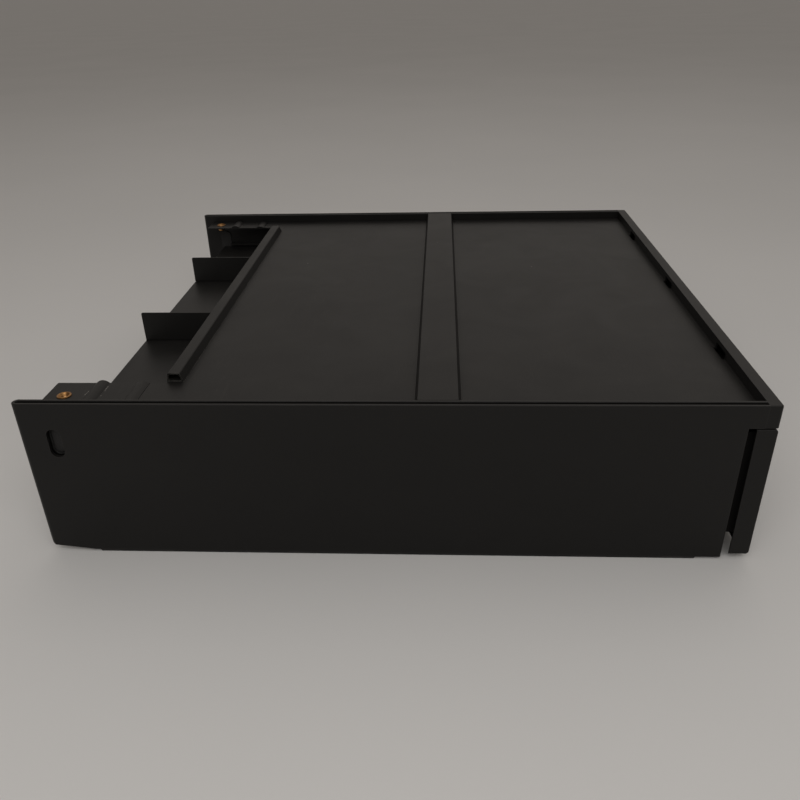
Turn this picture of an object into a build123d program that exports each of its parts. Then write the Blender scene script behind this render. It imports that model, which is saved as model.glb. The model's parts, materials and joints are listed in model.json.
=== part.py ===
from build123d import *
import os

# Desktop file sorter in formed sheet steel.
# A low housing is open at its sorter end (-X), where a tray with upright dividers slides out,
# and holds a drawer at its drawer end (+X). Millimetres, +Z up, origin at the centre of the
# footprint on the desk. "Left" is -Y and "right" is +Y, as seen from the drawer end.

# ---------------------------------------------------------------- driving dimensions
length = 454.4            # overall, X
width = 432.0             # overall, Y
side_height = 110.0       # side panels, without the foot strips
foot_proud = 2.0          # foot strips below the side panels

skin = 2.0                # sheet of the double-skinned side panels
skin_gap = 2.6            # open groove between the two skins
sheet = 1.2               # sheet of top, rails and drawer front
thin_sheet = 1.0          # sheet of drawer, tray and base

recess = 7.2              # top panel below the rim
band_height = 15.0        # end rail, seen from the drawer end
rail_width = 8.0          # end rail, seen from above
top_setback = 81.2        # sorter end to the top panel's edge
left_strip = 42.2         # side face to the left corner bracket's inner edge
right_strip = 29.2        # side face to the right corner bracket's inner edge
bracket_setback = 9.6     # sorter end to the corner brackets
bracket_length = 60.8     # corner brackets, along X

stiffener_place = 257.2   # sorter end to the stiffener's centre line
stiffener_width = 24.4    # top of the stiffener
stiffener_slope = 2.0     # each sloped side, in plan

front_depth = 12.4        # drawer front, X
front_gap = 5.0           # side panel to drawer front
front_top_gap = 0.8       # drawer front to end rail
front_drop = 2.4          # drawer front's lower edge above the side panel's

tray_setback = 19.0       # sorter end to the tray's edge
tray_length = 312.0
tray_level = 76.5         # tray's floor above the side panels' lower edge
divider_places = (168.7, 309.2)    # left side face to each divider's face

drawer_setback = 25.0     # sorter end to the drawer's back
drawer_level = 16.0       # underside of the drawer above the desk
drawer_height = 56.0
rail_space = 12.5         # inner skin to drawer side, each side
drawer_travel = 300.0
tray_travel = 200.0

screw_d = 4.0
nut_bore = 4.2            # threaded bore of an M5 rivet nut, at its crests
nut_flange_d = 9.2

fit_gap = 0.1             # sliding faces and pressed-in pieces
run_gap = 0.6             # tray's edge to its runner, each side
pass_gap = 1.2            # what passes under or between larger pieces

# ---------------------------------------------------------------- derived places
x_sorter = -length / 2
x_drawer = length / 2
y_face = width / 2                        # outer face of a side panel
wall = 2 * skin + skin_gap                # whole side panel
y_inner = y_face - wall                   # inner face of a side panel
y_web = y_inner - sheet                   # inner face of a channel's web on that wall
z_side = foot_proud
z_top = foot_proud + side_height
z_panel = z_top - recess                  # upper face of the recessed top
z_band = z_top - band_height
x_rail = x_drawer - rail_width            # inner face of the end rail
x_front = x_drawer - front_depth          # back of the drawer front
x_side_end = x_front - front_gap          # side panels end here below the band
x_top = x_sorter + top_setback
x_bracket = x_sorter + bracket_setback
x_bracket_end = x_bracket + bracket_length
x_stiffener = x_sorter + stiffener_place
z_tray = z_side + tray_level
z_divider = z_panel - sheet - pass_gap    # dividers pass under the top panel
x_tray = x_sorter + tray_setback
y_drawer = y_inner - rail_space           # outer face of the drawer's sides
x_drawer_back = x_sorter + drawer_setback
x_inner_front = x_front - sheet

LEFT, RIGHT = -1, 1
y_strip = {LEFT: y_face - left_strip, RIGHT: y_face - right_strip}     # brackets' inner edges


def block(x0, x1, y0, y1, z0, z1):
    """A box between two opposite corners, in any order."""
    size = (abs(x1 - x0), abs(y1 - y0), abs(z1 - z0))
    middle = ((x0 + x1) / 2, (y0 + y1) / 2, (z0 + z1) / 2)
    return Pos(*middle) * Box(*size)


def to_side(shape, side):
    """Sub-parts are drawn on the left (-Y); the right one is the mirror image."""
    return mirror(shape, about=Plane.XZ) if side == RIGHT else shape


def both_sides(shape):
    return Compound(children=[s for one in (shape, to_side(shape, RIGHT)) for s in one.solids()])


def profile_xz(points, y0, y1):
    """A closed outline in X and Z, pushed from y0 to y1."""
    face = make_face(Polyline(*[(x, 0, z) for x, z in points], close=True))
    return extrude(Pos(0, y0, 0) * face, amount=y1 - y0, dir=(0, 1, 0))


def rod(centre, radius, span, axis="Z"):
    """A cylinder that starts at centre and runs along +axis."""
    turn = {"X": (0, 90, 0), "Y": (-90, 0, 0), "Z": (0, 0, 0)}[axis]
    start = Align.CENTER, Align.CENTER, Align.MIN
    return Pos(*centre) * Rot(*turn) * Cylinder(radius, span, align=start)


def oval_post(x, z, wide, tall, y0, y1):
    """An upright oval with round ends, pushed across the wall from y0 to y1."""
    straight = (tall - wide) / 2
    body = block(x - wide / 2, x + wide / 2, y0, y1, z - straight, z + straight)
    for end in (-straight, straight):
        body += rod((x, y0, z + end), wide / 2, y1 - y0, "Y")
    return body


def edges_at(shape, axis, *tests):
    """Edges along one axis whose centre passes every test."""
    found = shape.edges().filter_by(axis)
    return [e for e in found if all(test(e.center()) for test in tests)]


def near(value, goal):
    return abs(value - goal) < 0.01


# ---------------------------------------------------------------- housing
slot_x = x_sorter + 22.0                  # oval slots in the side panels
slot_z = z_side + 82.4
slot_wide, slot_tall = 9.0, 20.0
lead_in_length, lead_in_rise = 30.0, 3.6  # shallow rise under the sorter end
corner_cut = 2.8                          # small cut across the lower sorter corner


def side_panel(side):
    """One sheet folded through 180 degrees at the sorter end, with an open groove on top."""
    turn = wall / 2
    centre_y = -y_face + turn
    x_turn = x_sorter + turn
    body = block(x_turn, x_rail, -y_face, -y_inner, z_side, z_top)
    body += rod((x_turn, centre_y, z_side), turn, side_height)
    groove = block(x_turn, x_rail, -y_face + skin, -y_inner - skin, z_side, z_top)
    groove += rod((x_turn, centre_y, z_side), skin_gap / 2, side_height)
    body -= groove
    body -= block(x_side_end, x_rail, -y_face, -y_inner, z_side, z_band)
    cut_z = z_side + lead_in_rise * (1 - corner_cut / lead_in_length)
    rise = [(x_sorter, z_side), (x_sorter + lead_in_length, z_side), (x_sorter + corner_cut, cut_z),
            (x_sorter, z_side + lead_in_rise + corner_cut)]
    body -= profile_xz(rise, -y_face, -y_inner)
    body -= oval_post(slot_x, slot_z, slot_wide, slot_tall, -y_face, -y_inner)
    for x, z in rail_screw_places():
        body -= rod((x, -y_inner - skin, z), screw_d / 2 + fit_gap / 2, skin, "Y")
    upper = [e for e in body.edges() if near(e.center().Z, z_top) and e.center().X < x_rail - 0.01]
    body = fillet(upper, 0.5)
    return to_side(body, side)


def slot_plugs():
    """Dull plugs that close the side panels' oval slots from the inside."""
    inset = 3.4
    flange = 1.0
    lip = 1.0
    stem = oval_post(slot_x, slot_z, slot_wide - 2 * fit_gap, slot_tall - 2 * fit_gap,
                     -y_face + inset, -y_inner)
    head = oval_post(slot_x, slot_z, slot_wide + 2 * lip, slot_tall + 2 * lip,
                     -y_inner, -y_inner + flange)
    return both_sides(stem + head)


def foot_strip(side):
    """Anti-slip strip whose stem is pressed into the groove under a side panel."""
    x0, x1 = x_sorter + 32, x_side_end - 15
    inset = 0.3
    stem_depth = 6.0
    strip = block(x0, x1, -y_face + inset, -y_inner - inset, 0, z_side)
    strip = fillet(edges_at(strip, Axis.X, lambda c: near(c.Z, 0)), 0.8)
    strip = fillet(edges_at(strip, Axis.Y, lambda c: near(c.Z, 0)), 1.5)
    strip += block(x0, x1, -y_face + skin + fit_gap, -y_inner - skin - fit_gap,
                   z_side, z_side + stem_depth)
    return to_side(strip, side)


rim_slot_length, rim_slot_reach, rim_slot_rise = 18.5, 1.6, 4.0
rim_slot_pitch = 134.0
rim_slot_shift = 4.7                      # middle slot, right of the centre line


def rim_slots():
    """Hook slots at the foot of the end rail, cut through panel and rail."""
    tools = []
    for row in (-1, 0, 1):
        y = rim_slot_shift + row * rim_slot_pitch
        tools.append(block(x_rail - rim_slot_reach, x_rail + sheet,
                           y - rim_slot_length / 2, y + rim_slot_length / 2,
                           z_panel - 2 * sheet, z_panel + rim_slot_rise))
    return tools


def top_panel():
    """Recessed top, with flanges turned down along both side panels."""
    z_under = z_panel - sheet
    panel = block(x_top, x_rail, -y_inner, y_inner, z_under, z_panel)
    for side in (LEFT, RIGHT):
        y_edge = side * y_strip[side]
        panel += block(x_bracket_end + 0.4, x_rail, y_edge, side * y_inner, z_under, z_panel)
        panel += block(x_bracket_end + 0.4, x_front - pass_gap, side * y_inner, side * y_web,
                       z_panel - 11, z_under)
    bends = edges_at(panel, Axis.X, lambda c: near(abs(c.Y), y_inner), lambda c: near(c.Z, z_panel))
    panel = fillet(bends, sheet * 0.9)
    for tool in rim_slots():
        panel -= tool
    return panel


def top_stiffener():
    """Hat-section stiffener across the recess, with its top flush with the rim."""
    half = stiffener_width / 2
    base = half + stiffener_slope
    lean = sheet * (1 + (stiffener_slope / recess) ** 2) ** 0.5
    z0, z1 = z_panel, z_top
    inner_top = z1 - sheet
    slide = stiffener_slope * (z1 - inner_top) / recess
    outline = [(-base, z0), (-half, z1), (half, z1), (base, z0), (base - lean, z0),
               (half - lean + slide, inner_top), (-half + lean - slide, inner_top), (lean - base, z0)]
    placed = [(x_stiffener + x, z) for x, z in outline]
    hat = profile_xz(placed, -y_inner, y_inner)
    corners = edges_at(hat, Axis.Y, lambda c: near(c.Z, z_top))
    return fillet(corners, 0.6)


lip_width, lip_height, lip_sheet = 11.3, 6.0, 0.9
lip_back, lip_slope = 1.2, 2.4            # how far each side leans, in plan
lip_reach = 172.0                         # centre line to each open end


def edge_lip():
    """Hollow channel along the top panel's free edge, open at both ends."""
    x0, z0 = x_top, z_panel
    x1 = x0 + lip_width
    z1 = z0 + lip_height
    lean = lip_slope / lip_height
    wall_in = lip_sheet * (1 + lean ** 2) ** 0.5
    back_in = lip_sheet * (1 + (lip_back / lip_height) ** 2) ** 0.5
    outer = [(x0, z0), (x0 + lip_back, z1), (x1 - lip_slope, z1), (x1, z0)]
    low, high = lip_sheet, lip_height - lip_sheet
    inner = [(x0 + back_in + lip_back * low / lip_height, z0 + low),
             (x0 + back_in + lip_back * high / lip_height, z0 + high),
             (x1 - wall_in - lean * high, z0 + high),
             (x1 - wall_in - lean * low, z0 + low)]
    lip = profile_xz(outer, -lip_reach, lip_reach)
    lip = fillet(edges_at(lip, Axis.Y, lambda c: near(c.Z, z1)), 1.3)
    return lip - profile_xz(inner, -lip_reach, lip_reach)


rail_return = 4.5                         # flange turned in under the end rail


def end_rail():
    """Box rail across the drawer end, with a flange turned in below, holed by the hook slots."""
    body = block(x_rail, x_drawer, -y_face, y_face, z_band, z_top)
    posts = edges_at(body, Axis.Z, lambda c: near(c.X, x_drawer))
    body = fillet(posts, 2.0)
    rims = [e for e in body.edges() if near(e.center().Z, z_top) and e.center().X > x_rail + 0.01]
    body = fillet(rims, 0.9)
    inner = block(x_rail + sheet, x_drawer - sheet, -y_face + skin, y_face - skin,
                  z_band + sheet, z_top - sheet)
    body -= inner
    body -= block(x_rail, x_drawer - sheet - rail_return, -y_inner, y_inner, z_band, z_band + sheet)
    body -= block(x_rail, x_rail + sheet, -y_inner, y_inner, z_band, z_panel - sheet)
    corners = edges_at(body, Axis.Y, lambda c: near(c.Z, z_band), lambda c: c.X > x_drawer - 0.1)
    body = fillet(corners, 0.5)
    for tool in rim_slots():
        body -= tool
    return body


nut_x = x_sorter + 21.5
nut_y = {side: (y_inner + y_strip[side]) / 2 for side in (LEFT, RIGHT)}
nut_body_d = 7.0
bead_x = x_sorter + 39.7


def cross_bead(x, reach, rise, y_edge):
    """A half-round bead that stands out of a bracket and runs across it."""
    radius = (reach ** 2 + rise ** 2) / (2 * rise)
    y_start = -y_inner + 3.5
    bar = rod((x, y_start, z_panel + rise - radius), radius, -y_edge - y_start, "Y")
    return bar & block(x - reach, x + reach, -y_inner, -y_edge, z_panel, z_panel + rise)


def corner_bracket(side):
    """Corner plate with a flange on the side panel, two beads and a hole for the rivet nut."""
    z_under = z_panel - sheet
    y_edge = y_strip[side]
    plate = block(x_bracket, x_bracket_end, -y_inner, -y_edge, z_under, z_panel)
    plate += block(x_bracket, x_bracket_end, -y_inner, -y_web, z_panel - 7, z_under)
    corner = edges_at(plate, Axis.Z, lambda c: near(c.X, x_bracket), lambda c: near(c.Y, -y_edge))
    plate = fillet(corner, 1.0)
    bend = edges_at(plate, Axis.X, lambda c: near(c.Y, -y_inner), lambda c: near(c.Z, z_panel))
    plate = fillet(bend, sheet * 0.9)
    plate += cross_bead(bead_x, 4.4, 2.0, y_edge)
    plate += cross_bead(x_bracket_end - 4.4, 4.0, 1.3, y_edge)
    plate -= rod((nut_x, -nut_y[side], z_under), nut_body_d / 2 + fit_gap / 2, sheet)
    return to_side(plate, side)


def rivet_nuts():
    """M5 rivet nuts, set from above, with the collapsed ring below the bracket."""
    flange, total, ring = 0.8, 6.0, 2.4
    z0 = z_panel
    z_low = z0 + flange - total
    nuts = []
    for side in (LEFT, RIGHT):
        y = side * nut_y[side]
        nut = rod((nut_x, y, z0), nut_flange_d / 2, flange)
        nut = fillet(edges_at_circle(nut, z0 + flange), 0.3)
        nut += rod((nut_x, y, z_low), nut_body_d / 2, total - flange)
        nut += rod((nut_x, y, z0 - sheet - ring), nut_flange_d / 2, ring)
        nuts.append(nut - rod((nut_x, y, z_low), nut_bore / 2, total))
    return Compound(children=nuts)


def edges_at_circle(shape, z):
    return [e for e in shape.edges().filter_by(GeomType.CIRCLE) if near(e.center().Z, z)]


def base_panel():
    """Bottom sheet between the side panels, with flanges up and a sill at the sorter end."""
    x0, x1 = x_sorter + 30, x_side_end - 13
    z0 = z_side + 4
    base = block(x0, x1, -y_inner, y_inner, z0, z0 + thin_sheet)
    for side in (LEFT, RIGHT):
        base += block(x0, x1, side * y_inner, side * (y_inner - thin_sheet), z0, z0 + 11)
    base += block(x0, x0 + thin_sheet, -y_inner, y_inner, z0, z0 + 8)
    base += block(x1 - thin_sheet, x1, -y_inner, y_inner, z0, z0 + 8)
    return base


# ---------------------------------------------------------------- drawer runners
channel_z = 40.0                          # underside of the fixed channel
channel_height = 12.0
channel_reach = rail_space - sheet - pass_gap    # wall to flange tips, clear of the drawer's rail
x_channel_end = x_side_end - 8
slide_z = channel_z + channel_height / 2  # middle of the sliding flange
slipper_length = 25.0
x_fixed_slipper = x_channel_end - slipper_length - 2
x_moving_slipper = x_fixed_slipper - 1.0 - drawer_travel - slipper_length
x_drawer_rail = x_moving_slipper - 8      # back end of the drawer's rails
buffer_length = 10.0
x_channel = x_drawer_rail - fit_gap - buffer_length - sheet


def rail_screw_places():
    """Screws that hold each fixed channel to the inner skin."""
    reach = x_channel_end - x_channel
    return [(x_channel + share * reach, slide_z) for share in (0.06, 0.35, 0.64, 0.9)]


def fixed_channel(side):
    """C-channel screwed to the inner skin, closed at the sorter end."""
    z0, z1 = channel_z, channel_z + channel_height
    y_tip = y_inner - channel_reach
    body = block(x_channel, x_channel_end, -y_inner, -y_web, z0, z1)
    for z in (z0, z1 - sheet):
        body += block(x_channel, x_channel_end, -y_web, -y_tip, z, z + sheet)
    body += block(x_channel, x_channel + sheet, -y_inner, -y_tip, z0, z1)
    for x, z in rail_screw_places():
        body -= rod((x, -y_inner, z), screw_d / 2 + fit_gap / 2, sheet, "Y")
    return to_side(body, side)


def channel_screws():
    """Low-head screws through the fixed channels into the inner skins."""
    head_d, head_high = 7.0, 1.6
    tip = 1.5
    screws = []
    for x, z in rail_screw_places():
        one = rod((x, -y_web, z), head_d / 2, head_high, "Y")
        one += rod((x, -y_inner - skin - tip, z), screw_d / 2, tip + skin + sheet, "Y")
        one -= block(x - 2.6, x + 2.6, -y_web + head_high - 0.7, -y_web + head_high, z - 0.4, z + 0.4)
        screws.append(one)
    return both_sides(Compound(children=screws))


def slipper(x0, gap):
    """Nylon block inside the channel, slotted for the sliding flange."""
    z0 = channel_z + sheet + fit_gap
    z1 = channel_z + channel_height - sheet - fit_gap
    y_out, y_in = y_web - 2.4, y_inner - channel_reach + 0.6
    body = block(x0, x0 + slipper_length, -y_out, -y_in, z0, z1)
    slot = block(x0, x0 + slipper_length, -y_out + 0.8, -y_in,
                 slide_z - sheet / 2 - gap, slide_z + sheet / 2 + gap)
    return body - slot


def fixed_slippers():
    """Slippers at the drawer end of the channels; each seats on the channel's flanges."""
    body = slipper(x_fixed_slipper, fit_gap)
    z0 = channel_z + sheet
    z1 = channel_z + channel_height - sheet
    y_out, y_in = y_web - 2.4, y_inner - channel_reach + 0.6
    for z in (z0, z1 - fit_gap):
        body += block(x_fixed_slipper, x_fixed_slipper + slipper_length, -y_out, -y_in, z, z + fit_gap)
    return both_sides(body)


def moving_slippers():
    """Slippers at the back of the drawer's rails; they meet the fixed ones at full travel."""
    return both_sides(slipper(x_moving_slipper, 0))


def drawer_rail(side):
    """Angle on the drawer's side whose flange slides in the fixed channel."""
    x0, x1 = x_drawer_rail, x_inner_front - sheet - 1
    z0, z1 = slide_z - sheet / 2, slide_z + 16
    rail = block(x0, x1, -y_drawer, -y_drawer - sheet, z0, z1)
    flange_reach = y_web - 2.4 - 0.8
    rail += block(x0, x1, -y_drawer - sheet, -flange_reach, z0, z0 + sheet)
    for x in rail_rivet_places():
        rail -= rod((x, -y_drawer - sheet, rail_rivet_z), rivet_d / 2 + fit_gap / 2, sheet, "Y")
    return to_side(rail, side)


rivet_d = 3.2
rivet_head_d = 6.0
rivet_head_high = 1.0
rail_rivet_z = slide_z + 9


def rail_rivet_places():
    x0, x1 = x_moving_slipper + 4, x_inner_front - 20
    return [x0 + share * (x1 - x0) for share in (0, 1 / 3, 2 / 3, 1)]


def rivet(centre, grip, axis, flip=1):
    """Dome-head rivet: head outside, shank through the grip, small set head inside."""
    x, y, z = centre
    step = {"X": (flip, 0, 0), "Y": (0, flip, 0), "Z": (0, 0, flip)}[axis]

    def along(start, span, radius):
        begin = start if flip > 0 else start + span
        place = (x + step[0] * begin, y + step[1] * begin, z + step[2] * begin)
        return rod(place, radius, span, axis)

    body = along(-rivet_head_high, rivet_head_high, rivet_head_d / 2)
    body += along(0, grip, rivet_d / 2)
    body += along(grip, rivet_head_high, rivet_head_d / 2 - 0.6)
    return body


# ---------------------------------------------------------------- drawer
z_drawer = drawer_level
z_drawer_top = z_drawer + drawer_height
back_height = drawer_height - 6
z_front = z_side + front_drop
z_front_top = z_band - front_top_gap
front_lip = 5.0                           # return along the drawer front's lower edge


def drawer_body():
    """Floor and both sides in one sheet, with a turned-in upper edge on each side."""
    x0, x1 = x_drawer_back, x_inner_front
    t = thin_sheet
    body = block(x0, x1, -y_drawer, y_drawer, z_drawer, z_drawer + t)
    for side in (LEFT, RIGHT):
        wall_in = side * (y_drawer - t)
        body += block(x0, x1, side * y_drawer, wall_in, z_drawer, z_drawer_top)
        body += block(x0, x1, side * y_drawer, side * (y_drawer - 5), z_drawer_top - t, z_drawer_top)
    for side in (LEFT, RIGHT):
        lower = edges_at(body, Axis.X, lambda c: near(c.Y, side * y_drawer), lambda c: near(c.Z, z_drawer))
        body = fillet(lower, t * 0.9)
        for x in rail_rivet_places():
            start = -y_drawer if side == LEFT else y_drawer - t
            body -= rod((x, start, rail_rivet_z), rivet_d / 2 + fit_gap / 2, t, "Y")
        for z in back_rivet_places():
            start = -y_drawer if side == LEFT else y_drawer - t
            body -= rod((x0 + 7, start, z), rivet_d / 2 + fit_gap / 2, t, "Y")
    return body


def back_rivet_places():
    return [z_drawer + 12, z_drawer + back_height - 10]


def drawer_back():
    """Back wall with a flange to each side and one along the floor."""
    x0 = x_drawer_back
    t = thin_sheet
    y_out = y_drawer - t
    z0, z1 = z_drawer + t, z_drawer + back_height
    body = block(x0, x0 + t, -y_out, y_out, z0, z1)
    body += block(x0, x0 + 14, -y_out + 14, y_out - 14, z0, z0 + t)
    for side in (LEFT, RIGHT):
        body += block(x0, x0 + 14, side * y_out, side * (y_out - t), z0 + 2, z1)
        for z in back_rivet_places():
            start = -y_out if side == LEFT else y_out - t
            body -= rod((x0 + 7, start, z), rivet_d / 2 + fit_gap / 2, t, "Y")
    return body


def drawer_inner_front():
    """Inner front wall, with flanges back to the drawer's sides and forward inside the front."""
    t = sheet
    x1 = x_front
    y_wide = y_inner - pass_gap
    z0, z1 = z_drawer, z_front_top - 6
    body = block(x1 - t, x1, -y_wide, y_wide, z0, z1)
    y_side = y_drawer - thin_sheet
    for side in (LEFT, RIGHT):
        body += block(x_inner_front - 12, x_inner_front, side * y_side, side * (y_side - t),
                      z0 + thin_sheet + 2, z_drawer_top - 2)
        body += block(x1, x_drawer - sheet - 1, side * y_wide, side * (y_wide - t), z0, z1)
    for y in front_screw_places():
        for z in (z_drawer + 16, z_drawer_top - 12):
            body -= rod((x1 - t, y, z), screw_d / 2 + fit_gap / 2, t, "X")
    return body


def front_screw_places():
    return [side * width * 0.31 for side in (LEFT, RIGHT)]


def front_panel():
    """Drawer front as a pan: face, two side flanges, top flange and a lip below as a pull."""
    t = sheet
    face_in = x_drawer - t
    body = block(x_front, x_drawer, -y_face, y_face, z_front, z_front_top)
    long_edges = edges_at(body, Axis.Y, lambda c: near(c.X, x_drawer))
    body = fillet(long_edges, 2.2)
    ends = [e for e in body.edges() if near(abs(e.center().Y), y_face) and e.center().X > x_front + 0.01]
    body = fillet(ends, 1.0)
    hollow = block(x_front, face_in, -y_face + t, y_face - t, z_front + t, z_front_top - t)
    body -= hollow
    lip_out = block(x_front, x_drawer - front_lip, -y_face + t, y_face - t, z_front, z_front + t)
    return body - lip_out


def front_brackets():
    """Two hat brackets inside the front that take its screws."""
    t = sheet
    depth = front_depth - t
    hats = []
    for y in front_screw_places():
        z0, z1 = z_drawer + 4, z_front_top - 12
        hat = block(x_front, x_front + depth, y - 15, y + 15, z0, z1)
        hat -= block(x_front + t, x_front + depth, y - 15 + t, y + 15 - t, z0, z1)
        for side in (LEFT, RIGHT):
            hat += block(x_front + depth - t, x_front + depth, y + side * 15, y + side * 24, z0, z1)
        for z in (z_drawer + 16, z_drawer_top - 12):
            hat -= rod((x_front, y, z), screw_d / 2 + fit_gap / 2, t, "X")
        hats.append(hat)
    return Compound(children=hats)


def front_screws():
    """Pan-head screws from inside the drawer into the front's brackets."""
    head_d, head_high = 8.0, 2.4
    shank = 2 * sheet + 4
    screws = []
    for y in front_screw_places():
        for z in (z_drawer + 16, z_drawer_top - 12):
            x = x_front - sheet
            one = rod((x - head_high, y, z), head_d / 2, head_high, "X")
            crown = [e for e in one.edges().filter_by(GeomType.CIRCLE) if near(e.center().X, x - head_high)]
            one = fillet(crown, 0.9)
            one += rod((x, y, z), screw_d / 2, shank, "X")
            for arm in ((2.4, 0.4), (0.4, 2.4)):
                one -= block(x - head_high, x - head_high + 1.0, y - arm[0], y + arm[0],
                             z - arm[1], z + arm[1])
            screws.append(one)
    return Compound(children=screws)


def rail_rivets():
    """Rivets that hold the drawer's rails to its sides."""
    rivets = []
    for x in rail_rivet_places():
        grip = sheet + thin_sheet
        rivets.append(rivet((x, -y_drawer - sheet, rail_rivet_z), grip, "Y"))
    return both_sides(Compound(children=rivets))


def back_rivets():
    """Rivets that hold the drawer's back to its sides."""
    rivets = []
    for z in back_rivet_places():
        rivets.append(rivet((x_drawer_back + 7, -y_drawer, z), 2 * thin_sheet, "Y"))
    return both_sides(Compound(children=rivets))


def closing_buffers():
    """Rubber blocks in the closed ends of the channels that the drawer's rails stop on."""
    x0 = x_channel + sheet
    y_out, y_in = y_web - 1.2, y_inner - channel_reach + 0.6
    pad = block(x0, x0 + buffer_length, -y_out, -y_in, channel_z + sheet, channel_z + channel_height - sheet)
    pad = fillet(edges_at(pad, Axis.Y, lambda c: near(c.X, x0 + buffer_length)), 2.0)
    return both_sides(pad)


# ---------------------------------------------------------------- sorter tray
runner_reach = 8.0
runner_base = z_tray - thin_sheet - 0.8 - fit_gap - sheet      # underside of the tray runners
runner_height = 7.4
x_runner = x_tray + 9
x_tray_end = x_tray + tray_length
x_runner_end = x_tray_end + 10
y_tray = y_web - run_gap
edge_height = 1.6                         # tray's turned-up edges
ear_length = 8.0                          # taller end of each edge, which meets the stop
x_stop = x_tray_end - ear_length - 1.0 - tray_travel - sheet


def tray_runner(side):
    """C-channel on the inner skin for the tray's edge, with a stop tab and a closed inner end."""
    z0, z1 = runner_base, runner_base + runner_height
    y_tip = y_inner - runner_reach
    body = block(x_runner, x_runner_end, -y_inner, -y_web, z0, z1)
    for z in (z0, z1 - sheet):
        body += block(x_runner, x_runner_end, -y_web, -y_tip, z, z + sheet)
    body += block(x_runner_end - sheet, x_runner_end, -y_inner, -y_tip, z0, z1)
    z_stop = z_tray + edge_height + fit_gap
    body += block(x_stop, x_stop + sheet, -y_web, -y_tip, z_stop, z1 - sheet)
    return to_side(body, side)


def tray_floor():
    """Tray sheet: floor, low turned-up edges, a back wall and a turned-down sorter edge."""
    t = thin_sheet
    z0 = z_tray - t
    floor = block(x_tray, x_tray_end, -y_tray, y_tray, z0, z_tray)
    z_ear = runner_base + runner_height - sheet - 0.5
    for side in (LEFT, RIGHT):
        y_edge = side * (y_tray - t)
        floor += block(x_runner, x_tray_end, side * y_tray, y_edge, z_tray, z_tray + edge_height)
        floor += block(x_tray_end - ear_length, x_tray_end, side * y_tray, y_edge, z_tray, z_ear)
    y_back = y_inner - runner_reach - pass_gap
    floor += block(x_tray_end - t, x_tray_end, -y_back, y_back, z0, z_divider - 3)
    y_drop = y_inner - runner_reach - pass_gap
    floor += block(x_tray, x_tray + t, -y_drop, y_drop, z0 - 6, z_tray)
    front = edges_at(floor, Axis.Y, lambda c: near(c.X, x_tray), lambda c: near(c.Z, z_tray))
    floor = fillet(front, t * 0.6)
    for y in divider_rows():
        for x in divider_rivet_places():
            floor -= rod((x, y + divider_foot / 2 + t, z0), rivet_d / 2 + fit_gap / 2, t)
    return floor


divider_foot = 12.0


def divider_rows():
    return [-y_face + place for place in divider_places]


def divider_rivet_places():
    x0, x1 = x_tray + 25, x_tray_end - 25
    return [x0 + share * (x1 - x0) for share in (0, 1 / 3, 2 / 3, 1)]


def divider(y):
    """Upright divider with a foot flange turned away to +Y, under its rivets."""
    t = thin_sheet
    x0, x1 = x_tray + 0.3, x_tray_end - t
    z0, z1 = z_tray, z_divider
    bend = 1.6
    body = block(x0, x1, y, y + t, z0, z1) + block(x0, x1, y, y + t + divider_foot, z0, z0 + t)
    heel = edges_at(body, Axis.X, lambda c: near(c.Y, y), lambda c: near(c.Z, z0))
    body = fillet(heel, t * 0.8)
    toe = edges_at(body, Axis.X, lambda c: near(c.Y, y + t), lambda c: near(c.Z, z0 + t))
    body = fillet(toe, bend)
    tips = edges_at(body, Axis.Y, lambda c: near(c.Z, z1))
    body = fillet(tips, 1.2)
    for x in divider_rivet_places():
        body -= rod((x, y + divider_foot / 2 + t, z0), rivet_d / 2 + fit_gap / 2, t)
    return body


def divider_rivets():
    """Rivets through the dividers' feet and the tray's floor."""
    rivets = []
    for y in divider_rows():
        for x in divider_rivet_places():
            centre = (x, y + divider_foot / 2 + thin_sheet, z_tray + thin_sheet)
            rivets.append(rivet(centre, 2 * thin_sheet, "Z", flip=-1))
    return Compound(children=rivets)


def tray_glides():
    """Nylon strips under the tray's edges that ride on the runners."""
    z1 = z_tray - thin_sheet
    strip = block(x_runner + 2, x_tray_end - 2, -y_tray + 1, -y_inner + runner_reach - 1,
                  z1 - 0.8, z1)
    return both_sides(strip)


# ---------------------------------------------------------------- assembly
def all_parts():
    parts = {}
    for name, side in (("left", LEFT), ("right", RIGHT)):
        parts[name + "_side_panel"] = side_panel(side)
        parts[name + "_foot_strip"] = foot_strip(side)
        parts[name + "_corner_bracket"] = corner_bracket(side)
        parts[name + "_tray_runner"] = tray_runner(side)
        parts[name + "_fixed_channel"] = fixed_channel(side)
        parts[name + "_drawer_rail"] = drawer_rail(side)
    parts["top_panel"] = top_panel()
    parts["top_stiffener"] = top_stiffener()
    parts["edge_lip"] = edge_lip()
    parts["end_rail"] = end_rail()
    parts["rivet_nuts"] = rivet_nuts()
    parts["slot_plugs"] = slot_plugs()
    parts["base_panel"] = base_panel()
    parts["channel_screws"] = channel_screws()
    parts["fixed_slippers"] = fixed_slippers()
    parts["closing_buffers"] = closing_buffers()

    parts["drawer_body"] = drawer_body()
    parts["drawer_back"] = drawer_back()
    parts["drawer_inner_front"] = drawer_inner_front()
    parts["front_panel"] = front_panel()
    parts["front_brackets"] = front_brackets()
    parts["front_screws"] = front_screws()
    parts["moving_slippers"] = moving_slippers()
    parts["rail_rivets"] = rail_rivets()
    parts["back_rivets"] = back_rivets()

    parts["tray_floor"] = tray_floor()
    for row, y in enumerate(divider_rows()):
        parts[("front", "rear")[row] + "_divider"] = divider(y)
    parts["divider_rivets"] = divider_rivets()
    parts["tray_glides"] = tray_glides()
    return parts


os.makedirs("parts", exist_ok=True)
for node, shape in all_parts().items():
    export_step(shape, "parts/" + node + ".step")
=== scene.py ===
"""Desktop file sorter: looks for the formed-sheet housing, its drawer and its sorter tray."""
import json
from math import cos, pi, radians, sin

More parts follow.
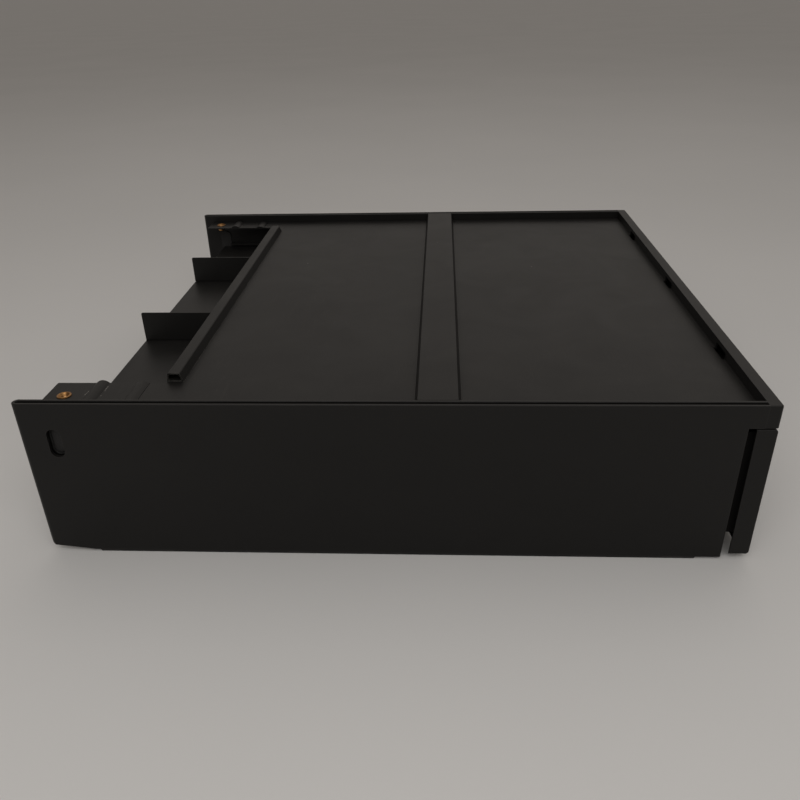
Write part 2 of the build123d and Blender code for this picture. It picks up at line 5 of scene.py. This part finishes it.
import bmesh
import bpy
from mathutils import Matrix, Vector


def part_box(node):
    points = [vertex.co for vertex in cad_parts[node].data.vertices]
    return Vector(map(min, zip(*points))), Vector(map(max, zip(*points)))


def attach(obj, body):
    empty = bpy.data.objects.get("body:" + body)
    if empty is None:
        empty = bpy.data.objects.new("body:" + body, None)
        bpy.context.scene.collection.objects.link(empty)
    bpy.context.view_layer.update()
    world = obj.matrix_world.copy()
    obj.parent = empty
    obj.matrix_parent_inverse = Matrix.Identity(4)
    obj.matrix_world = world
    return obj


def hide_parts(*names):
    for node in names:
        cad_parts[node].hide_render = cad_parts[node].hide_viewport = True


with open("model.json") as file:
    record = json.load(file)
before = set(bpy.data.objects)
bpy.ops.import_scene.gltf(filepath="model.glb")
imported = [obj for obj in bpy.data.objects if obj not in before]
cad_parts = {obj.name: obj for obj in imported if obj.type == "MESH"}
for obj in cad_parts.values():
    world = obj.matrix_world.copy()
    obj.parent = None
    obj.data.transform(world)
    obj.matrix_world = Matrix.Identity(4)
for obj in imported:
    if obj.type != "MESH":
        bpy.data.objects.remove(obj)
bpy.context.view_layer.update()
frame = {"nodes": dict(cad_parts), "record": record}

MM = 0.001
CREASE_ANGLE = 35.0      # degrees: a sharper fold than this is shaded as an edge
LAMP_SPREAD = 180.0      # degrees: the lamps throw their light all ways in front of them
PARTS = frame["nodes"]
SLOT_OF = {part["node"]: part["material_slot"] for part in frame["record"]["subparts"]}


# ---------------------------------------------------------------- camera, light and floor
def make_camera():
    lens = bpy.data.cameras.new("camera")
    lens.lens = 34.182
    lens.sensor_width = 36.0
    camera = bpy.data.objects.new("camera", lens)
    camera.location = (0.03184, -0.6032, 0.32628)
    camera.rotation_euler = (radians(61.4773), radians(1.3707), radians(2.7736))
    bpy.context.collection.objects.link(camera)
    bpy.context.scene.camera = camera


def make_softbox(name, place, aim, size, power, colour):
    """A large soft lamp that looks from its place towards its aim."""
    lamp = bpy.data.lights.new(name, "AREA")
    lamp.shape = "RECTANGLE"
    lamp.size, lamp.size_y = size
    lamp.energy = power
    lamp.spread = radians(LAMP_SPREAD)
    lamp.color = colour
    holder = bpy.data.objects.new(name, lamp)
    holder.location = place
    holder.rotation_euler = (Vector(aim) - Vector(place)).to_track_quat("-Z", "Y").to_euler()
    bpy.context.collection.objects.link(holder)


def make_room_light():
    """A dim pale room with one wide bright window-like area high on the far (+Y) side."""
    world = bpy.data.worlds.new("pale surround")
    bpy.context.scene.world = world
    world.use_nodes = True
    tree = world.node_tree
    tree.nodes.clear()
    way = add(tree, "SeparateXYZ", {0: add(tree, "TexCoord").outputs["Generated"]}).outputs
    high = maths(tree, "MULTIPLY", ramp_up(tree, way["Z"], 0.12, 0.42), ramp_up(tree, way["Z"], 0.95, 0.65))
    far_side = maths(tree, "MULTIPLY", ramp_up(tree, way["Y"], 0.15, 0.75), high)
    lean = maths(tree, "ADD", 1.0, maths(tree, "MULTIPLY", way["X"], 0.5))
    window = maths(tree, "MULTIPLY", maths(tree, "MULTIPLY", far_side, lean), 0.40)
    horizon = maths(tree, "MULTIPLY", ramp_up(tree, way["Z"], 0.06, 0.01), 0.03)
    level = maths(tree, "ADD", maths(tree, "ADD", 0.180, window), horizon)
    glow = add(tree, "Background", {"Color": (1.0, 0.93, 0.86, 1), "Strength": level})
    add(tree, "OutputWorld", {"Surface": glow.outputs[0]})


def make_floor():
    """A plain pale floor that runs far past the view."""
    reach = 300.0
    form = bmesh.new()
    corners = [form.verts.new((x * reach, y * reach, 0)) for x, y in ((-1, -1), (1, -1), (1, 1), (-1, 1))]
    form.faces.new(corners)
    mesh = bpy.data.meshes.new("floor")
    form.to_mesh(mesh)
    form.free()
    floor = bpy.data.objects.new("floor", mesh)
    bpy.context.collection.objects.link(floor)
    mesh.materials.append(plain_cloth())


# ---------------------------------------------------------------- node helpers
def add(tree, kind, sockets=None, **settings):
    """Adds one node; a socket takes a number, a vector or another node's output."""
    made = tree.nodes.new("ShaderNode" + kind)
    for name, value in settings.items():
        setattr(made, name, value)
    for key, value in (sockets or {}).items():
        if isinstance(value, bpy.types.NodeSocket):
            tree.links.new(value, made.inputs[key])
        else:
            made.inputs[key].default_value = value
    return made


def maths(tree, operation, *values):
    return add(tree, "Math", dict(enumerate(values)), operation=operation).outputs[0]


def ramp_up(tree, value, low, high):
    """0 below low, 1 above high, smooth between."""
    sockets = {"Value": value, "From Min": low, "From Max": high}
    return add(tree, "MapRange", sockets, interpolation_type="SMOOTHSTEP").outputs[0]


def blend_colour(tree, share, under, over):
    mix = add(tree, "Mix", data_type="RGBA")
    for key, value in ((0, share), (6, under), (7, over)):
        if isinstance(value, bpy.types.NodeSocket):
            tree.links.new(value, mix.inputs[key])
        else:
            mix.inputs[key].default_value = value
    return mix.outputs[2]


def object_place(tree, stretch=(1, 1, 1), turn=(0, 0, 0)):
    """Places on the object, in metres, stretched or turned for grain that runs one way."""
    source = add(tree, "TexCoord").outputs["Object"]
    if stretch == (1, 1, 1) and turn == (0, 0, 0):
        return source
    sockets = {"Vector": source, "Scale": stretch, "Rotation": turn}
    return add(tree, "Mapping", sockets).outputs[0]


def open_group(name, inputs, outputs):
    """A shader node group with number inputs; gives its tree, its inputs and its output sockets."""
    tree = bpy.data.node_groups.new(name, "ShaderNodeTree")
    for label, value in inputs.items():
        kind = "NodeSocketVector" if isinstance(value, tuple) else "NodeSocketFloat"
        socket = tree.interface.new_socket(label, in_out="INPUT", socket_type=kind)
        socket.default_value = value
    for label in outputs:
        tree.interface.new_socket(label, in_out="OUTPUT", socket_type="NodeSocketFloat")
    return tree, tree.nodes.new("NodeGroupInput").outputs, tree.nodes.new("NodeGroupOutput").inputs


def effect(tree, name, **values):
    """Places a node group in a material and sets its named inputs."""
    made = tree.nodes.new("ShaderNodeGroup")
    made.node_tree = bpy.data.node_groups[name]
    for label, value in values.items():
        made.inputs[label.replace("_", " ").capitalize()].default_value = value
    return made.outputs


# ---------------------------------------------------------------- effects shared by the materials
def make_orange_peel():
    """Powder that has flowed as it cured: soft ripples, with a fine tooth on top."""
    tree, given, result = open_group(
        "orange peel", {"Ripple size": 1.6, "Tooth size": 0.35, "Tooth share": 0.35}, ("Height", "Tone"))
    place = object_place(tree)
    layers = []
    for label, detail in (("Ripple size", 2.0), ("Tooth size", 1.0)):
        scale = maths(tree, "DIVIDE", 1000.0, given[label])
        sockets = {"Vector": place, "Scale": scale, "Detail": detail, "Roughness": 0.55}
        layers.append(add(tree, "TexNoise", sockets).outputs["Fac"])
    tooth = maths(tree, "MULTIPLY", layers[1], given["Tooth share"])
    tree.links.new(maths(tree, "ADD", layers[0], tooth), result["Height"])
    tree.links.new(ramp_up(tree, layers[1], 0.35, 0.75), result["Tone"])


def make_sheet_sway():
    """Slow waves of rolled and folded sheet, which a flat panel shows in its reflections."""
    tree, given, result = open_group("sheet sway", {"Wave size": 90.0}, ("Height",))
    scale = maths(tree, "DIVIDE", 1000.0, given["Wave size"])
    sockets = {"Vector": object_place(tree, (1, 0.6, 1)), "Scale": scale, "Detail": 0.0}
    tree.links.new(add(tree, "TexNoise", sockets).outputs["Fac"], result["Height"])


def make_edge_wear_and_highlight():
    """Where an edge or a bend is rubbed, broken up so that the wear comes and goes; when nearly every patch
    is kept, the mask runs along whole edges as a painted edge highlight.
    """
    tree, given, result = open_group(
        "edge wear and highlight", {"Width": 0.5, "Patch size": 12.0, "Bare share": 0.45}, ("Wear and highlight",))
    width = maths(tree, "MULTIPLY", given["Width"], MM)
    round_normal = add(tree, "Bevel", {"Radius": width}, samples=4).outputs[0]
    true_normal = add(tree, "NewGeometry").outputs["Normal"]
    normals = {0: round_normal, 1: true_normal}
    turn = add(tree, "VectorMath", normals, operation="DOT_PRODUCT").outputs["Value"]
    edge = ramp_up(tree, turn, 0.995, 0.86)
    scale = maths(tree, "DIVIDE", 1000.0, given["Patch size"])
    sockets = {"Vector": object_place(tree), "Scale": scale, "Detail": 5.0, "Roughness": 0.65}
    patches = add(tree, "TexNoise", sockets).outputs["Fac"]
    start = maths(tree, "SUBTRACT", 1.0, given["Bare share"])
    patch = ramp_up(tree, patches, maths(tree, "SUBTRACT", start, 0.1), maths(tree, "ADD", start, 0.1))
    tree.links.new(maths(tree, "MULTIPLY", edge, patch), result["Wear and highlight"])


def make_settled_dust():
    """A thin film and a few specks of lint that lie on faces turned upwards."""
    tree, given, result = open_group(
        "settled dust", {"Film": 0.5, "Speck size": 7.0, "Speck share": 0.06}, ("Dust", "Lint"))
    up = add(tree, "SeparateXYZ", {0: add(tree, "NewGeometry").outputs["Normal"]}).outputs["Z"]
    level = ramp_up(tree, up, 0.6, 1.0)
    place = object_place(tree)
    sockets = {"Vector": place, "Scale": 16.0, "Detail": 6.0, "Roughness": 0.7}
    cloud = add(tree, "TexNoise", sockets).outputs["Fac"]
    cover = maths(tree, "MULTIPLY", ramp_up(tree, cloud, 0.3, 0.8), given["Film"])
    film = maths(tree, "MULTIPLY", cover, level)
    scale = maths(tree, "DIVIDE", 1000.0, given["Speck size"])
    cells = add(tree, "TexVoronoi", {"Vector": place, "Scale": scale, "Randomness": 1.0})
    chosen = maths(tree, "LESS_THAN", add(tree, "SeparateXYZ", {0: cells.outputs["Color"]}).outputs["X"],
                   given["Speck share"])
    spot = ramp_up(tree, cells.outputs["Distance"], 0.075, 0.03)
    lint = maths(tree, "MULTIPLY", maths(tree, "MULTIPLY", chosen, spot), level)
    tree.links.new(film, result["Dust"])
    tree.links.new(lint, result["Lint"])


def make_fine_scratches():
    """Sparse hairline scratches in two directions on faces turned upwards, from papers and hands."""
    tree, given, result = open_group("fine scratches", {"Spacing": 9.0, "Share": 0.5}, ("Scratch",))
    density = maths(tree, "DIVIDE", 1000.0, given["Spacing"])
    layers = []
    for angle, reach in ((0.5, 0.05), (-1.1, 0.035)):
        place = object_place(tree, (1, reach, 1), (0, 0, angle))
        wander = add(tree, "TexNoise", {"Vector": place, "Scale": density, "Detail": 3.0}).outputs["Fac"]
        line = maths(tree, "ABSOLUTE", maths(tree, "SUBTRACT", wander, 0.5))
        layers.append(ramp_up(tree, line, 0.004, 0.0015))
    both = maths(tree, "MAXIMUM", layers[0], layers[1])
    sockets = {"Vector": object_place(tree), "Scale": 22.0, "Detail": 2.0}
    patches = add(tree, "TexNoise", sockets).outputs["Fac"]
    up = add(tree, "SeparateXYZ", {0: add(tree, "NewGeometry").outputs["Normal"]}).outputs["Z"]
    start = maths(tree, "SUBTRACT", 1.0, given["Share"])
    kept = ramp_up(tree, patches, start, maths(tree, "ADD", start, 0.12))
    kept = maths(tree, "MULTIPLY", kept, ramp_up(tree, up, 0.7, 0.95))
    tree.links.new(maths(tree, "MULTIPLY", both, kept), result["Scratch"])


def make_handling():
    """Wiped and handled areas, where the finish is a little more or less glossy."""
    tree, given, result = open_group("handling", {"Patch size": 60.0}, ("Smear",))
    scale = maths(tree, "DIVIDE", 1000.0, given["Patch size"])
    sockets = {"Vector": object_place(tree, (1, 1, 1.6)), "Scale": scale, "Detail": 4.0,
               "Roughness": 0.6, "Distortion": 1.2}
    tree.links.new(add(tree, "TexNoise", sockets).outputs["Fac"], result["Smear"])


def make_scuff():
    """One rubbed stroke between two places, ragged along its sides."""
    tree, given, result = open_group(
        "scuff", {"Start": (0.0, 0.0, 0.0), "End": (0.0, 0.01, 0.0), "Width": 0.8}, ("Scuff",))
    place = object_place(tree)
    ragged = add(tree, "TexNoise", {"Vector": place, "Scale": 900.0, "Detail": 3.0}).outputs["Fac"]

    def vector(operation, one, two):
        return add(tree, "VectorMath", {0: one, 1: two}, operation=operation).outputs

    along = vector("SUBTRACT", given["End"], given["Start"])["Vector"]
    offset = vector("SUBTRACT", place, given["Start"])["Vector"]
    span = vector("DOT_PRODUCT", along, along)["Value"]
    share = maths(tree, "DIVIDE", vector("DOT_PRODUCT", offset, along)["Value"], span)
    share = add(tree, "Clamp", {"Value": share}).outputs[0]
    nearest = add(tree, "VectorMath", {0: along, "Scale": share}, operation="SCALE").outputs["Vector"]
    distance = add(tree, "VectorMath", {0: offset, 1: nearest}, operation="DISTANCE").outputs["Value"]
    half = maths(tree, "MULTIPLY", given["Width"], 0.5 * MM)
    lightening = ramp_up(tree, maths(tree, "DIVIDE", distance, half), 1.0, 0.4)
    tree.links.new(maths(tree, "MULTIPLY", lightening, ramp_up(tree, ragged, 0.40, 0.60)), result["Scuff"])


# ---------------------------------------------------------------- materials
def new_material(name, **sockets):
    material = bpy.data.materials.new(name)
    material.use_nodes = True
    tree = material.node_tree
    tree.nodes.clear()
    shader = add(tree, "BsdfPrincipled", sockets)
    add(tree, "OutputMaterial", {"Surface": shader.outputs[0]})
    return material, tree, shader.inputs


def relief(tree, height, depth):
    """A bump of the given depth, in millimetres."""
    return add(tree, "Bump", {"Height": height, "Distance": depth * MM, "Strength": 1.0}).outputs[0]


COAT_BLACK = (0.0075, 0.0072, 0.0069, 1)
COAT_LIFTED = (0.0125, 0.0118, 0.0110, 1)
DUST_TONE = (0.155, 0.142, 0.126, 1)
# Light edge colour: bare steel where the coat is rubbed through, and a painted highlight along the side-panel
# rims.
BARE_STEEL_AND_EDGE_HIGHLIGHT = (0.42, 0.40, 0.37, 1)
LINT_TONE = (0.5, 0.47, 0.42, 1)
SCUFF_STRENGTH = 0.45
LINT_STRENGTH = 0.8
BRACKET_SCUFFS = (
    ((-0.1924, -0.1852, 0.1048), (-0.1930, -0.1918, 0.1048), 0.9),
    ((-0.1822, -0.1850, 0.1048), (-0.1824, -0.1790, 0.1048), 0.9),
)


def powder_coat(name, gloss=0.36, lightening=0.8, edge_band_width=0.35, bare=0.42, film=0.05, lint=0.025, scuffs=()):
    """Satin black powder coat on steel sheet; its lightened edges are rubbed wear, and on the side panels a
    painted highlight along the rims.
    """
    material, tree, surface = new_material(name, **{"Specular IOR Level": 0.20})
    peel = effect(tree, "orange peel")
    smear = effect(tree, "handling")["Smear"]
    dust = effect(tree, "settled dust", film=film, speck_share=lint)
    scratch = effect(tree, "fine scratches")["Scratch"]
    # Edge mask that lightens the coat towards bare steel: rubbed wear on the lip, bracket and rivets, a
    # painted highlight along the side-panel rims.
    wear = maths(tree, "MULTIPLY", effect(tree, "edge wear and highlight", width=edge_band_width, bare_share=bare)["Wear and highlight"], lightening)
    for start, end, width in scuffs:
        stroke = effect(tree, "scuff", start=start, end=end, width=width)["Scuff"]
        wear = maths(tree, "MAXIMUM", wear, maths(tree, "MULTIPLY", stroke, SCUFF_STRENGTH))

    peel_tone = maths(tree, "MULTIPLY", peel["Tone"], 0.35)
    tone = maths(tree, "ADD", peel_tone, maths(tree, "MULTIPLY", smear, 0.5))
    colour = blend_colour(tree, tone, COAT_BLACK, COAT_LIFTED)
    colour = blend_colour(tree, maths(tree, "MULTIPLY", scratch, 0.05), colour, DUST_TONE)
    colour = blend_colour(tree, dust["Dust"], colour, DUST_TONE)
    colour = blend_colour(tree, maths(tree, "MULTIPLY", dust["Lint"], LINT_STRENGTH), colour, LINT_TONE)
    # Lightened edges: wear, and on the side panels a painted rim highlight.
    colour = blend_colour(tree, wear, colour, BARE_STEEL_AND_EDGE_HIGHLIGHT)
    tree.links.new(colour, surface["Base Color"])

    rough = maths(tree, "ADD", gloss, maths(tree, "MULTIPLY", smear, 0.14))
    rough = maths(tree, "ADD", rough, maths(tree, "MULTIPLY", dust["Dust"], 0.5))
    tree.links.new(rough, surface["Roughness"])
    tree.links.new(maths(tree, "MULTIPLY", wear, 0.7), surface["Metallic"])

    sway = effect(tree, "sheet sway")["Height"]
    ripples = maths(tree, "MULTIPLY", peel["Height"], 0.12)
    height = maths(tree, "ADD", maths(tree, "MULTIPLY", sway, 5.0), ripples)
    height = maths(tree, "SUBTRACT", height, maths(tree, "MULTIPLY", scratch, 0.05))
    tree.links.new(relief(tree, height, 0.09), surface["Normal"])
    return material


def black_rivet_finish():
    """Coated rivet heads, glossier than the sheet and rubbed on their crowns."""
    material, tree, surface = new_material("black rivet finish", **{"Specular IOR Level": 0.4})
    peel = effect(tree, "orange peel", ripple_size=0.8)
    wear = effect(tree, "edge wear and highlight", width=0.4, bare_share=0.5)["Wear and highlight"]
    colour = blend_colour(tree, peel["Tone"], COAT_BLACK, COAT_LIFTED)
    colour = blend_colour(tree, maths(tree, "MULTIPLY", wear, 0.7), colour, BARE_STEEL_AND_EDGE_HIGHLIGHT)
    tree.links.new(colour, surface["Base Color"])
    tree.links.new(maths(tree, "ADD", 0.3, maths(tree, "MULTIPLY", peel["Tone"], 0.15)), surface["Roughness"])
    tree.links.new(relief(tree, peel["Height"], 0.01), surface["Normal"])
    return material


def zinc_plate(name, bright, shade, stain):
    """Passivated zinc plating: cloudy metal with a thin stain that shifts its tint."""
    material, tree, surface = new_material(name, **{"Metallic": 1.0})
    place = object_place(tree)
    cloud = add(tree, "TexNoise", {"Vector": place, "Scale": 420.0, "Detail": 4.0}).outputs["Fac"]
    drift = add(tree, "TexNoise", {"Vector": place, "Scale": 90.0, "Detail": 2.0}).outputs["Fac"]
    colour = blend_colour(tree, ramp_up(tree, cloud, 0.35, 0.7), bright, shade)
    colour = blend_colour(tree, ramp_up(tree, drift, 0.45, 0.75), colour, stain)
    tree.links.new(colour, surface["Base Color"])
    rough = maths(tree, "ADD", 0.22, maths(tree, "MULTIPLY", cloud, 0.25))
    tree.links.new(rough, surface["Roughness"])
    tree.links.new(relief(tree, cloud, 0.006), surface["Normal"])
    return material


def moulded_plastic(name, base, mottled, gloss, sheen_share=0.0):
    """Moulded plastic with a fine spark-eroded grain."""
    material, tree, surface = new_material(name)
    place = object_place(tree)
    grain = add(tree, "TexNoise", {"Vector": place, "Scale": 2600.0, "Detail": 3.0}).outputs["Fac"]
    cloud = add(tree, "TexNoise", {"Vector": place, "Scale": 70.0, "Detail": 3.0}).outputs["Fac"]
    colour = blend_colour(tree, ramp_up(tree, cloud, 0.3, 0.75), base, mottled)
    scratch = effect(tree, "fine scratches", spacing=5.0)["Scratch"]
    colour = blend_colour(tree, maths(tree, "MULTIPLY", scratch, sheen_share), colour, DUST_TONE)
    tree.links.new(colour, surface["Base Color"])
    tree.links.new(maths(tree, "ADD", gloss, maths(tree, "MULTIPLY", grain, 0.2)), surface["Roughness"])
    tree.links.new(relief(tree, grain, 0.02), surface["Normal"])
    return material


def strip_rubber():
    """Matt black rubber with a dry bloom on its surface."""
    material, tree, surface = new_material("strip rubber", **{"Specular IOR Level": 0.3})
    place = object_place(tree)
    grain = add(tree, "TexNoise", {"Vector": place, "Scale": 1800.0, "Detail": 5.0}).outputs["Fac"]
    bloom = add(tree, "TexNoise", {"Vector": place, "Scale": 45.0, "Detail": 5.0}).outputs["Fac"]
    dry = ramp_up(tree, bloom, 0.4, 0.8)
    colour = blend_colour(tree, dry, (0.012, 0.012, 0.012, 1), (0.036, 0.034, 0.032, 1))
    tree.links.new(colour, surface["Base Color"])
    tree.links.new(maths(tree, "ADD", 0.68, maths(tree, "MULTIPLY", bloom, 0.2)), surface["Roughness"])
    tree.links.new(relief(tree, grain, 0.04), surface["Normal"])
    return material


def plain_cloth():
    """The floor: a plain pale sheet, matt, with the faintest weave."""
    material, tree, surface = new_material("plain pale floor", **{"Specular IOR Level": 0.1})
    cloud = add(tree, "TexNoise", {"Vector": object_place(tree), "Scale": 2.2, "Detail": 3.0}).outputs["Fac"]
    sockets = {"Vector": object_place(tree), "Scale": 1400.0, "Detail": 2.0}
    weave = add(tree, "TexNoise", sockets).outputs["Fac"]
    colour = blend_colour(tree, cloud, (0.66, 0.655, 0.645, 1), (0.72, 0.71, 0.70, 1))
    tree.links.new(colour, surface["Base Color"])
    tree.links.new(maths(tree, "ADD", 0.85, maths(tree, "MULTIPLY", weave, 0.1)), surface["Roughness"])
    tree.links.new(relief(tree, weave, 0.05), surface["Normal"])
    return material


for make_effect in (make_orange_peel, make_sheet_sway, make_edge_wear_and_highlight, make_settled_dust,
                    make_fine_scratches, make_handling, make_scuff):
    make_effect()


def finish_cad_parts(coats):
    """Every CAD node gets the finish of its slot, and some coated pieces a finish of their own."""
    for node, part in PARTS.items():
        finish = coats.get(node) or coats[SLOT_OF[node]]
        for holder in part.material_slots:
            holder.material = finish


def mesh_piece(name, form, finish, slot, body, *stood_for):
    """Turns mesh code into a piece that rides on a body and stands for CAD nodes."""
    mesh = bpy.data.meshes.new(name)
    bmesh.ops.recalc_face_normals(form, faces=form.faces)
    form.to_mesh(mesh)
    form.free()
    for face in mesh.polygons:
        face.use_smooth = True
    mesh.materials.append(finish)
    piece = bpy.data.objects.new(name, mesh)
    bpy.context.collection.objects.link(piece)
    split = piece.modifiers.new("crisp edges", "EDGE_SPLIT")
    split.split_angle = radians(CREASE_ANGLE)
    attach(piece, body)
    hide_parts(*stood_for)
    return piece


def join_rings(form, rings, closed):
    """Quads between each ring of vertices and the next; closed joins the last to the first."""
    pairs = list(zip(rings, rings[1:] + rings[:1])) if closed else list(zip(rings, rings[1:]))
    for lower, upper in pairs:
        count = len(lower)
        for spot in range(count):
            after = (spot + 1) % count
            form.faces.new((lower[spot], lower[after], upper[after], upper[spot]))


def turned(form, profile, place, steps=56):
    """A closed outline of radius and height, in millimetres, turned round a vertical line."""
    rings = []
    for radius, height in profile:
        ring = []
        for step in range(steps):
            angle = 2 * pi * step / steps
            spot = (radius * cos(angle) * MM, radius * sin(angle) * MM, height * MM)
            ring.append(form.verts.new(Vector(place) + Vector(spot)))
        rings.append(ring)
    join_rings(form, rings, True)


def oval_ring(form, half_wide, half_straight, centre, steps=18):
    """An upright oval of vertices in the XZ plane."""
    ring = []
    for end, start in ((1, 0), (-1, pi)):
        for step in range(steps + 1):
            angle = start + pi * step / steps
            x = half_wide * cos(angle) * MM
            z = (end * half_straight + half_wide * sin(angle)) * MM
            ring.append(form.verts.new(Vector(centre) + Vector((x, 0, z))))
    return ring


def make_rivet_nuts(finish):
    """M5 rivet nuts: rolled flange, countersunk mouth, cut thread and collapsed ring."""
    low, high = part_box("rivet_nuts")
    radius, flange_top = 4.6, 0.8
    form = bmesh.new()
    thread = []
    pitch, crest, root = 0.8, 2.12, 2.46
    for turn in range(6):
        foot = -4.9 + turn * pitch
        thread += [(crest, foot), (root, foot + pitch * 0.5)]
    profile = thread + [(crest, -0.6), (2.5, -0.35), (3.1, 0.55), (3.4, flange_top),
                        (4.1, flange_top), (4.45, 0.62), (radius, 0.3), (4.55, 0.0), (3.5, 0.0),
                        (3.5, -1.2), (4.2, -1.5), (radius, -2.4),
                        (4.2, -3.3), (3.5, -3.6), (3.45, -5.0), (3.2, -5.2), (2.3, -5.2)]
    level = high[2] - flange_top * MM
    middle = (low[0] + high[0]) / 2
    for y in (low[1] + radius * MM, high[1] - radius * MM):
        turned(form, profile, (middle, y, level))
    mesh_piece("rivet_nuts_threaded", form, finish, "yellow_zinc", "housing", "rivet_nuts")


def make_slot_plugs(finish):
    """Moulded plugs in the side slots: a grooved rim and a slightly crowned face."""
    low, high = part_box("slot_plugs")
    middle_x, middle_z = (low[0] + high[0]) / 2, (low[2] + high[2]) / 2
    form = bmesh.new()
    depth, half_straight = 4.2, 5.5
    steps = ((5.5, 0.0), (5.5, 0.8), (5.3, 1.0), (4.35, 1.0), (4.35, 4.1), (4.2, 4.2),
             (3.7, 4.2), (3.55, 4.0), (3.5, 3.2), (3.0, 3.2), (2.9, 3.9), (2.6, 4.0),
             (1.4, 4.1), (0.35, 4.15))
    for side, inner in ((-1, low[1]), (1, high[1])):
        back = inner - side * depth * MM
        rings = []
        for half_wide, out in steps:
            centre = (middle_x, back + side * out * MM, middle_z)
            rings.append(oval_ring(form, half_wide, half_straight, centre))
        join_rings(form, rings, False)
        form.faces.new(rings[0])
        form.faces.new(rings[-1])
    mesh_piece("slot_plugs_moulded", form, finish, "plug_plastic", "housing", "slot_plugs")


coats = {
    "black_powder_coat": powder_coat("powder coat", lightening=0.0),
    "edge_lip": powder_coat("powder coat rubbed at the lip", lightening=0.35, edge_band_width=0.5, bare=0.5),
    "left_corner_bracket": powder_coat("powder coat scuffed by screws", lightening=0.15, scuffs=BRACKET_SCUFFS),
    # The side panels' nearly unbroken light edges are a painted highlight along the rims.
    "left_side_panel": powder_coat(
        "powder coat on folded sides with painted edge highlight", lightening=0.05, edge_band_width=0.6, bare=0.95, gloss=0.30),
    "rivet_black": black_rivet_finish(),
    "rubber": strip_rubber(),
    "nylon": moulded_plastic("natural nylon", (0.60, 0.58, 0.52, 1), (0.66, 0.64, 0.58, 1), 0.35, 0.3),
    "plug_plastic": moulded_plastic(
        "plug plastic", (0.006, 0.0058, 0.0056, 1), (0.010, 0.0095, 0.009, 1), 0.62),
    "yellow_zinc": zinc_plate(
        "yellow zinc", (0.40, 0.22, 0.09, 1), (0.30, 0.15, 0.05, 1), (0.34, 0.17, 0.09, 1)),
    "zinc_steel": zinc_plate(
        "bright zinc", (0.62, 0.62, 0.63, 1), (0.48, 0.48, 0.50, 1), (0.50, 0.50, 0.56, 1)),
}
coats["right_side_panel"] = coats["left_side_panel"]
finish_cad_parts(coats)
make_rivet_nuts(coats["yellow_zinc"])
make_slot_plugs(coats["plug_plastic"])

make_camera()
make_room_light()
make_softbox("front softbox", (0.05, -1.15, 1.05), (0.05, -0.6, 0.0), (1.6, 0.9), 9.0, (1.0, 0.985, 0.965))
make_softbox("overhead softbox", (0.0, 0.3, 2.2), (0.0, 0.1, 0.0), (2.4, 2.0), 6.0, (1.0, 0.97, 0.94))
make_floor()
bpy.context.scene.view_settings.view_transform = "Standard"
